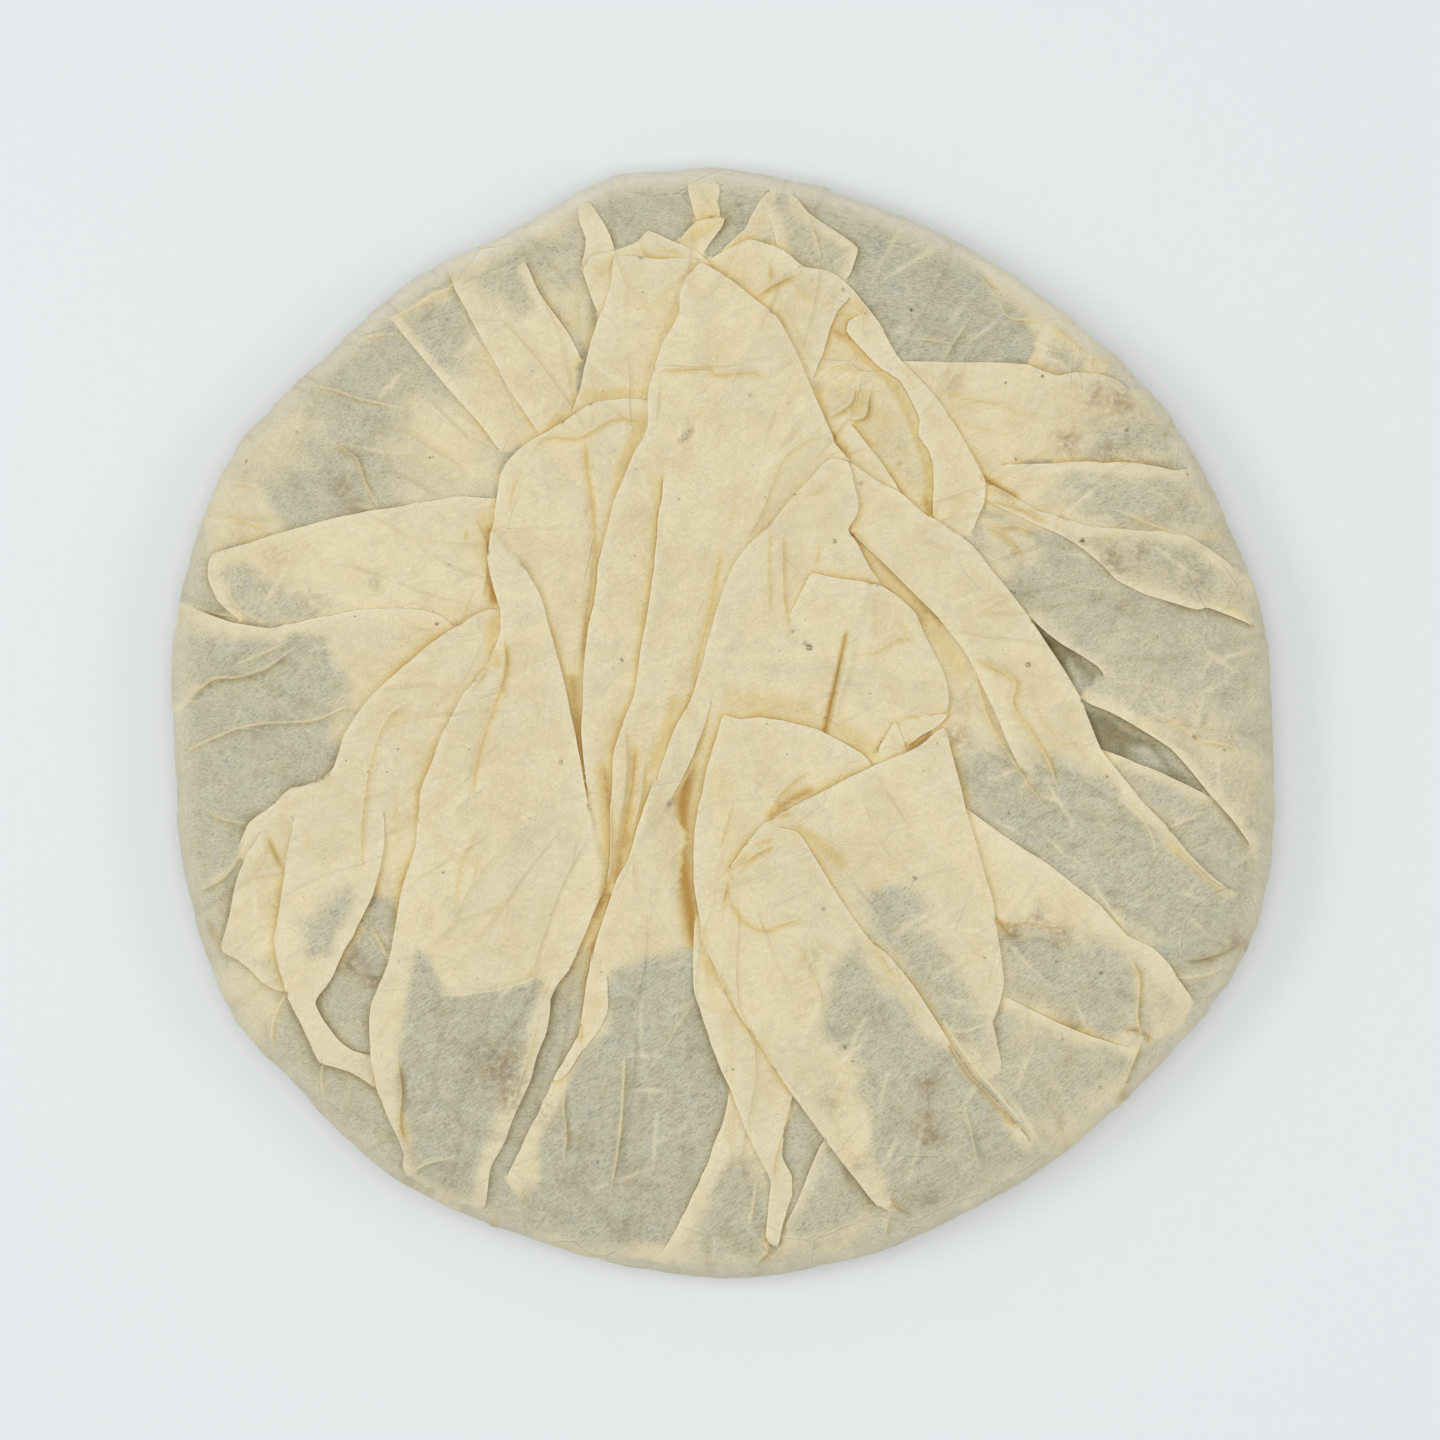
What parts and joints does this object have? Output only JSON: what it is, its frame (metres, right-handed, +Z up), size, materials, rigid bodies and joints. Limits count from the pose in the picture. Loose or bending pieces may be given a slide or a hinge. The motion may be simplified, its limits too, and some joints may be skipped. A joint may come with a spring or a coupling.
{
  "type": "wrapped pu erh tea cake",
  "caption": "Round pressed tea cake wrapped in one sheet of thin cotton paper, lying face down with the pleated back up.",
  "frame": {"origin": "middle of the flat spot that the cake rests on", "axes": "+Z up, +Y towards the narrow end of the crown leaf of folded paper, +X to the right of it seen from above"},
  "size_m": [0.2065, 0.2078, 0.023],
  "materials": {
    "cotton_paper": "thin matte long-fibre paper, cream where it lies in several layers and grey-green where one layer lies on the dark tea"
  },
  "bodies": {
    "root": {"wrapped_tea_cake": "cotton_paper"}
  },
  "joints": []
}
